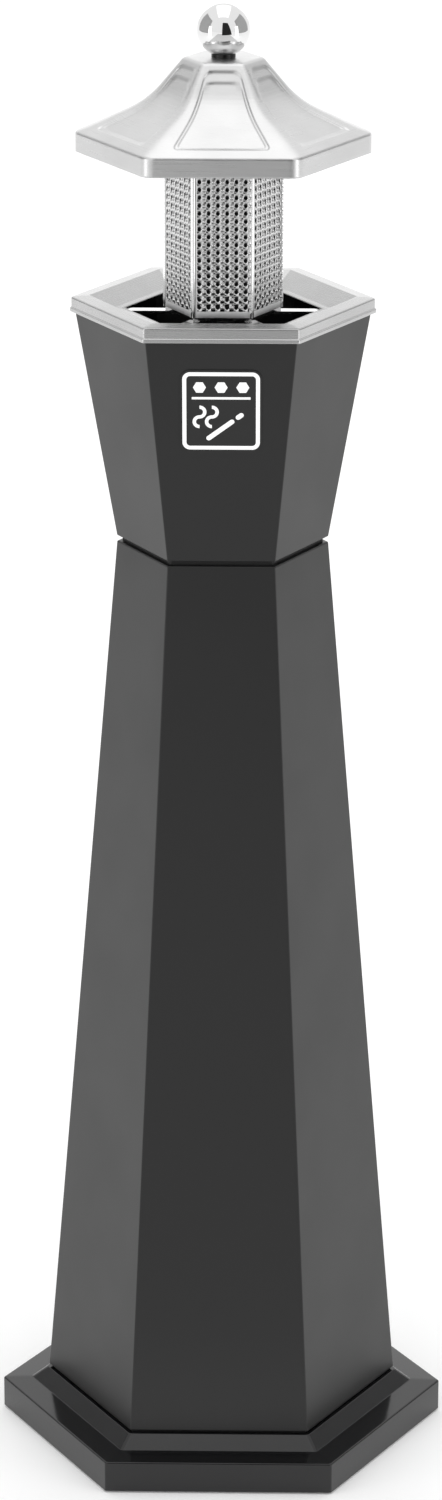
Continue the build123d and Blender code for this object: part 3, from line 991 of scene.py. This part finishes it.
@dataclass
class Lantern(SubAssembly):
    """The stubbing lantern: six punched and dimpled panels between bright corner posts."""

    hole: float = 2.7
    hole_cell: float = 3.2
    pitch_across: float = 6.0
    pitch_up: float = 5.2
    columns: int = 6
    rows: int = 26
    first_row: float = 806.4
    half_width: float = 17.4
    dimple: float = 2.75
    dimple_height: float = 1.2
    dimple_waist: tuple[float, float] = (0.42, 0.55)
    dimple_shoulder: tuple[float, float] = (0.24, 0.9)
    smooth_to: float = 75.0
    wall: float = 0.9
    facets: int = 12

    def cell_ring(self, left: float, right: float) -> Line:
        """Gives the twelve points on the edge of one half of a cell.

        Args:
            left: its left edge.
            right: its right edge.

        Returns:
            Places across and up, from the middle of the right edge, counterclockwise.
        """
        half = self.pitch_up / 2
        across = [left + (right - left) * k / 3 for k in range(4)]
        up = [-half + 2 * half * k / 3 for k in range(4)]
        edge = [(right, z) for z in up[1:]]
        edge += [(across[2], half), (across[1], half)]
        edge += [(left, z) for z in reversed(up)]
        return edge + [(across[1], -half), (across[2], -half), (right, up[0])]

    def circle(self, centre: float, radius: float) -> Line:
        """Gives twelve points of a circle in step with a cell's edge.

        Args:
            centre: its place across.
            radius: its radius.

        Returns:
            Places across and up.
        """
        turns = [math.tau * (k - 0.5) / self.facets for k in range(self.facets)]
        return [(centre + radius * math.cos(t), radius * math.sin(t)) for t in turns]

    def cell(self) -> Mesh:
        """Meshes one cell: a hole, and a raised dimple to its right.

        Returns:
            A sheet of a few dozen faces that faces -Y.
        """
        left = -self.hole_cell / 2
        middle = self.hole_cell / 2
        right = left + self.pitch_across
        bump = (middle + right) / 2
        points, faces = [], []

        def band(outer: list[int], inner: list[int]) -> None:
            """Fills between two rings of points."""
            for k in range(self.facets):
                after = (k + 1) % self.facets
                faces.append((outer[k], outer[after], inner[after], inner[k]))

        def ring(places: Line, height: float) -> list[int]:
            """Adds a ring of points at a height off the sheet."""
            start = len(points)
            points.extend((x, -height, z) for x, z in places)
            return list(range(start, start + len(places)))

        band(ring(self.cell_ring(left, middle), 0), ring(self.circle(0, self.hole / 2), 0))
        foot = ring(self.circle(bump, self.dimple / 2), 0)
        waist, shoulder = (
            ring(self.circle(bump, self.dimple * wide), self.dimple_height * high)
            for wide, high in (self.dimple_waist, self.dimple_shoulder)
        )
        band(ring(self.cell_ring(middle, right), 0), foot)
        band(foot, waist)
        band(waist, shoulder)
        crown = len(points)
        points.append((bump, -self.dimple_height, 0))
        faces.extend((shoulder[k], shoulder[(k + 1) % self.facets], crown) for k in range(self.facets))
        return mesh_of("stubbing_cell", points, faces)

    def border(self, low: float, high: float) -> Mesh:
        """Meshes the plain strips round the punched field, split to meet its cells.

        Args:
            low: the panel's bottom.
            high: the panel's top.

        Returns:
            The strips, facing -Y.
        """
        field_left = -self.pitch_across * (self.columns - 1) / 2 - self.hole_cell / 2
        thirds_up = [self.first_row + self.pitch_up * (k / 3 - 0.5) for k in range(3 * self.rows + 1)]
        across = [field_left]
        for _ in range(self.columns):
            across += [across[-1] + self.hole_cell * k / 3 for k in (1, 2, 3)]
            across += [across[-1] + (self.pitch_across - self.hole_cell) * k / 3 for k in (1, 2, 3)]
        points, faces = [], []
        strips = (
            ([-self.half_width, field_left], [low, *thirds_up, high]),
            ([across[-1], self.half_width], [low, *thirds_up, high]),
            (across, [low, thirds_up[0]]),
            (across, [thirds_up[-1], high]),
        )
        for xs, zs in strips:
            start = len(points)
            points += [(x, 0, z) for z in zs for x in xs]
            wide = len(xs)
            for i in range(len(zs) - 1):
                for j in range(wide - 1):
                    corner = start + i * wide + j
                    faces.append((corner, corner + 1, corner + wide + 1, corner + wide))
        return mesh_of("stubbing_border", points, faces)

    def panel(self) -> Mesh:
        """Makes one panel at the front of the lantern.

        Returns:
            The panel's closed mesh.
        """
        low, high = millimetres("lantern_panels")
        field_height = self.first_row + self.pitch_up * (self.rows - 1) / 2
        punched = self.tools.punched_field.run(
            self.cell(),
            "stubbing_field",
            {
                "Columns": self.columns,
                "Rows": self.rows,
                "Pitch Across": self.pitch_across * MM,
                "Pitch Up": self.pitch_up * MM,
                "Finish": PUNCHED_STEEL.material(),
            },
        )
        punched.data.transform(Matrix.Translation((0, 0, field_height * MM)))
        whole = bmesh.new()
        whole.from_mesh(punched.data)
        whole.from_mesh(self.border(low.z, high.z))
        bmesh.ops.remove_doubles(whole, verts=whole.verts, dist=MERGE)
        bmesh.ops.translate(whole, verts=whole.verts, vec=(0, low.y * MM, 0))
        whole.to_mesh(punched.data)
        whole.free()
        smoothed(punched.data, math.radians(self.smooth_to))
        thicken(punched, self.wall)
        piece = baked(punched, "stubbing_panel")
        mesh = piece.data
        bpy.data.objects.remove(piece)
        return mesh

    def make(self) -> None:
        """Builds and dresses the lantern."""
        front = self.panel()
        for k in range(SIDES):
            mesh = front.copy()
            mesh.transform(Matrix.Rotation(SIDE_TURN * k, 4, "Z"))
            name = f"stubbing_panel_{k + 1}"
            finished(new_object(name, mesh), "top", ("lantern_panels",))
        dress(POLISHED_STEEL, "lantern_foot_ring", "lantern_posts")
        # Painted shade: the liner is a near-black sheet behind the holes, standing for the shade inside the
        # lantern.
        dress(SHADE_BLACK_ENAMEL, "lantern_liner")
        dress(PLATE_STEEL, "lantern_top_plate")


@dataclass
class Roof(SubAssembly):
    """The pressed roof: six dished sides with sunk panels, rounded hips and a turned-down edge."""

    wall: float = 1.1
    rod_hole: float = 4.5
    rod_ring: float = 5.85
    rod_corner: float = 2.0
    shoulder: float = 22.7
    shoulder_bend: float = 4.0
    steep: float = 53.0
    shallow: float = 27.0
    dish: float = 58.0
    edge_height: float = 915.8
    edge_bend: float = 2.4
    spacing: float = 0.9
    rod_play: float = 0.05
    eave: float = 78.0
    fascia: float = 84.8
    fascia_corner: float = 10.0
    eave_corner: float = 14.0
    shoulder_corner: float = 3.4
    sunk: float = 1.4
    sunk_step: float = 1.4
    sunk_corner: float = 4.5
    sunk_top: float = 25.6
    sunk_foot: float = 77.6
    half_top: float = 11.4
    half_foot: float = 32.4
    ledge: float = 4.6
    ledge_inset: float = 1.8
    ledge_share: float = 0.45
    press_margin: float = 4.0
    crowd_limits: tuple[float, float] = (0.5, 0.88)
    crowd_inset: float = 0.8
    crowd_reach: float = 2.6
    bend_steps: int = 8

    def outline(self, low: float, high: float, edge: float) -> Line:
        """Gives the roof's line from the bottom of its edge up to the rod hole.

        Args:
            low: height of the turned-down edge's bottom.
            high: height of the level top.
            edge: apothem of the turned-down edge.

        Returns:
            Apothem and height of each point, no further apart than the spacing.
        """
        steep, shallow = (math.tan(math.radians(angle)) for angle in (self.steep, self.shallow))
        run, fall = edge - self.shoulder, high - self.edge_height
        steep_run = (fall - run * shallow) / (steep - shallow)
        line = rounded(
            [
                (edge, low, 0),
                (edge, self.edge_height, self.edge_bend),
                (self.shoulder + steep_run, high - steep_run * steep, self.dish),
                (self.shoulder, high, self.shoulder_bend),
                (self.rod_ring, high, 0),
                (self.rod_hole, high, 0),
            ],
            self.bend_steps,
        )
        close = [line[0]]
        for point in line[1:]:
            start = close[-1]
            parts = max(1, math.ceil(math.dist(start, point) / self.spacing))
            close += [
                tuple(a + (b - a) * k / parts for a, b in zip(start, point))
                for k in range(1, parts + 1)
            ]
        return close

    def corner(self, apothem: float) -> float:
        """Gives the hip's rounding: widest just above the eave, tight at the top, round at the rod.

        Args:
            apothem: the level's apothem.

        Returns:
            The rounding's radius.
        """
        if apothem < self.rod_ring + self.rod_play:
            return apothem
        places = (
            (0.0, self.rod_corner),
            (self.shoulder, self.shoulder_corner),
            (self.eave, self.eave_corner),
            (self.fascia, self.fascia_corner),
        )
        for (before, small), (after, large) in zip(places, places[1:]):
            if apothem <= after:
                return small + (large - small) * (apothem - before) / (after - before)
        return self.fascia_corner

    def half_sunk(self, apothem: float) -> float:
        """Gives half the width of the sunk panel at a level.

        Args:
            apothem: the level's apothem.

        Returns:
            The half width in millimetres.
        """
        share = (apothem - self.sunk_top) / (self.sunk_foot - self.sunk_top)
        return self.half_top + (self.half_foot - self.half_top) * share

    def focus(self, apothem: float, half: float) -> tuple[float, float]:
        """Says where a side's points crowd.

        Args:
            apothem: the level's apothem.
            half: half the length of the side's flat.

        Returns:
            The sunk panel's edge, and how far the crowd spreads on each side of it.
        """
        least, most = (half * share for share in self.crowd_limits)
        edge = min(max(self.half_sunk(apothem), least), most)
        inset = min(self.crowd_inset, edge * 0.1)
        return edge - inset, min(self.crowd_reach, (half - edge) * 0.9, edge * 0.3)

    def press(self, apothem: float, along: float) -> float:
        """Says how deep the sheet is pressed at a point: a sunk panel with a ledge at its top.

        Args:
            apothem: the level's apothem.
            along: the place along the side.

        Returns:
            The depth in millimetres.
        """
        if not self.sunk_top - self.press_margin < apothem < self.sunk_foot + self.press_margin:
            return 0.0
        depth = 0.0
        stages = ((0.0, 0.0, 1 - self.ledge_share), (self.ledge_inset, self.ledge, self.ledge_share))
        for inset, top_inset, share in stages:
            top, foot = self.sunk_top + top_inset, self.sunk_foot - inset
            middle, reach = (top + foot) / 2, (foot - top) / 2
            aside = abs(along) - (self.half_sunk(apothem) - inset) + self.sunk_corner
            beyond = abs(apothem - middle) - reach + self.sunk_corner
            outside = math.hypot(max(aside, 0.0), max(beyond, 0.0)) + min(max(aside, beyond), 0.0)
            inward = min(1.0, max(0.0, (self.sunk_corner - outside) / self.sunk_step))
            depth += share * inward * inward * (3 - 2 * inward)
        return self.sunk * depth

    def make(self) -> None:
        """Builds and dresses the roof."""
        low, high = millimetres("roof")
        line = self.outline(low.z, high.z, high.y)
        sheet = FoldedSheet(
            "roof_pressing", line, self.corner, self.wall, ROOF_STEEL, focus=self.focus, press=self.press
        )
        finished(sheet.make(self.tools), "top", ("roof",))


@dataclass
class Finial(SubAssembly):
    """The chrome ball on its black collar, and the rod and hardware that clamp the top together."""

    radius: float = 17.5
    neck: float = 7.9
    bore: float = 4.05
    bore_depth: float = 20.0
    low_steps: int = 24
    high_steps: int = 32

    def make(self) -> None:
        """Builds the ball and dresses the collar and the rod's hardware."""
        low, high = millimetres("finial_ball")
        centre = high.z - self.radius
        lowest = math.acos(self.neck / self.radius)
        stretch = (centre - low.z) / math.sin(lowest)
        line = [(0.0, low.z + self.bore_depth), (self.bore, low.z + self.bore_depth), (self.bore, low.z)]
        for k in range(self.low_steps):
            turn = -lowest * (1 - k / self.low_steps)
            line.append((self.radius * math.cos(turn), centre + stretch * math.sin(turn)))
        for k in range(self.high_steps):
            turn = math.pi / 2 * k / self.high_steps
            line.append((self.radius * math.cos(turn), centre + self.radius * math.sin(turn)))
        line.append((0.0, centre + self.radius))
        finished(lathed("chrome_ball", line, MIRROR_CHROME), "top", ("finial_ball",))
        dress(COLLAR_BLACK, "finial_collar")
        dress(ZINC, "tie_rod", "rod_washer", "rod_nut", "spacer_sleeve")


# ---------------------------------------------------------------- studio


@dataclass
class Studio:
    """A plain pale floor, soft light from above and beside, and the camera at standing height."""

    lens: float = 120.43
    height: float = 1.573
    distance: float = 3.223
    pitch: float = 18.55
    swing: float = 0.836
    roll: float = 0.10
    pan: float = 0.015
    floor_size: float = 90.0
    sight: float = 200.0
    daylight: float = 0.97
    mat_height: float = 0.004
    flag_place: float = -2.9
    wall_place: float = 4.5

    def camera(self) -> None:
        """Places the camera."""
        data = bpy.data.cameras.new("studio_camera")
        data.lens = self.lens
        data.clip_end = self.sight
        made = bpy.data.objects.new("studio_camera", data)
        bpy.context.scene.collection.objects.link(made)
        swing = Matrix.Rotation(math.radians(self.swing), 4, "Z")
        stand = Matrix.Translation((0, -self.distance, self.height))
        pitch = Matrix.Rotation(math.radians(90 - self.pitch), 4, "X")
        roll = Matrix.Rotation(math.radians(self.roll), 4, "Z")
        pan = Matrix.Rotation(math.radians(self.pan), 4, "Y")
        made.matrix_world = swing @ stand @ pitch @ roll @ pan
        bpy.context.scene.camera = made

    def floor(self) -> None:
        """Lays the floor."""
        half = self.floor_size / 2 / MM
        corners = [(-half, -half, 0), (half, -half, 0), (half, half, 0), (-half, half, 0)]
        mesh = mesh_of("studio_floor", corners, [(0, 1, 2, 3)])
        mesh.materials.append(BACKLIT_ACRYLIC.material())
        new_object("studio_floor", mesh)

    def softbox(self, name: str, place: tuple, aim: tuple, size: tuple[float, float], watts: float) -> None:
        """Hangs a soft light that the camera doesn't see.

        Args:
            name: the light's name.
            place: where it hangs.
            aim: the point that it faces.
            size: its width and height in metres.
            watts: its power.
        """
        data = bpy.data.lights.new(name, "AREA")
        data.shape = "RECTANGLE"
        data.size, data.size_y = size
        data.energy = watts
        made = bpy.data.objects.new(name, data)
        made.location = place
        made.rotation_mode = "QUATERNION"
        made.rotation_quaternion = (Vector(aim) - Vector(place)).to_track_quat("-Z", "Y")
        made.visible_camera = False
        bpy.context.scene.collection.objects.link(made)

    def card(self, name: str, corners: list[tuple[float, float, float]], colour: str) -> None:
        """Stands a plain card that only the object's bright surfaces mirror.

        Args:
            name: the card's name.
            corners: its four corners in metres, in order round it.
            colour: its tone.
        """
        mesh = mesh_of(name, [tuple(c / MM for c in corner) for corner in corners], [(0, 1, 2, 3)])
        mesh.materials.append(Finish(name, colour, 0.9).material())
        made = new_object(name, mesh)
        made.visible_camera = False
        made.visible_diffuse = False
        made.visible_shadow = False

    def cards(self) -> None:
        """Sets the grey mat in front and the dark flags that the bright metal mirrors."""
        mat = [(x, y, self.mat_height) for x, y in ((-3, -7), (3, -7), (1.2, -0.3), (-1.2, -0.3))]
        self.card("grey_mat", mat, "#d6d6d6")
        flag = [(x, self.flag_place, z) for x, z in ((-0.3, 0.3), (2.1, 0.3), (1.2, 3.4), (-0.2, 3.4))]
        self.card("front_flag", flag, "#101010")
        for side in (-1, 1):
            out = side * self.wall_place
            wall = [(out, y, z) for y, z in ((-2.5, 0.3), (3.4, 0.3), (3.4, 5.0), (-2.5, 5.0))]
            self.card(f"side_wall_{side + 1}", wall, "#a8a8a8")

    def sky(self) -> None:
        """Sets the even light all round."""
        world = bpy.data.worlds.new("studio_air")
        world.use_nodes = True
        tree = world.node_tree
        tree.nodes.clear()
        even = {"Color": linear("#ffffff"), "Strength": self.daylight}
        air = add_node(tree, "ShaderNodeBackground", even)
        add_node(tree, "ShaderNodeOutputWorld", {"Surface": air.outputs[0]})
        bpy.context.scene.world = world

    def make(self) -> None:
        """Sets up the whole studio."""
        self.camera()
        self.floor()
        self.cards()
        self.sky()
        self.softbox("overhead", (0, 1.3, 4.2), (0, 1.3, 0), (2.4, 5.6), 21)
        self.softbox("backdrop", (0, 12, 2.8), (0, 0, 1.0), (10.0, 4.6), 60)
        for side in (-1, 1):
            self.softbox(f"strip_{side + 1}", (side * 2.6, -1.5, 1.0), (0, 0, 0.8), (0.7, 1.9), 7)
        view = bpy.context.scene.view_settings
        view.view_transform = "Standard"
        view.look = "None"


def main() -> None:
    """Builds every sub-assembly, foot to finial, and then the studio."""
    logging.basicConfig(level=logging.INFO, format="%(name)s: %(message)s")
    tools = Tools()
    for part in (Base, Column, Head, Pail, Tray, Lantern, Roof, Finial):
        part(tools).make()
    Studio().make()


if __name__ == "__main__":
    main()
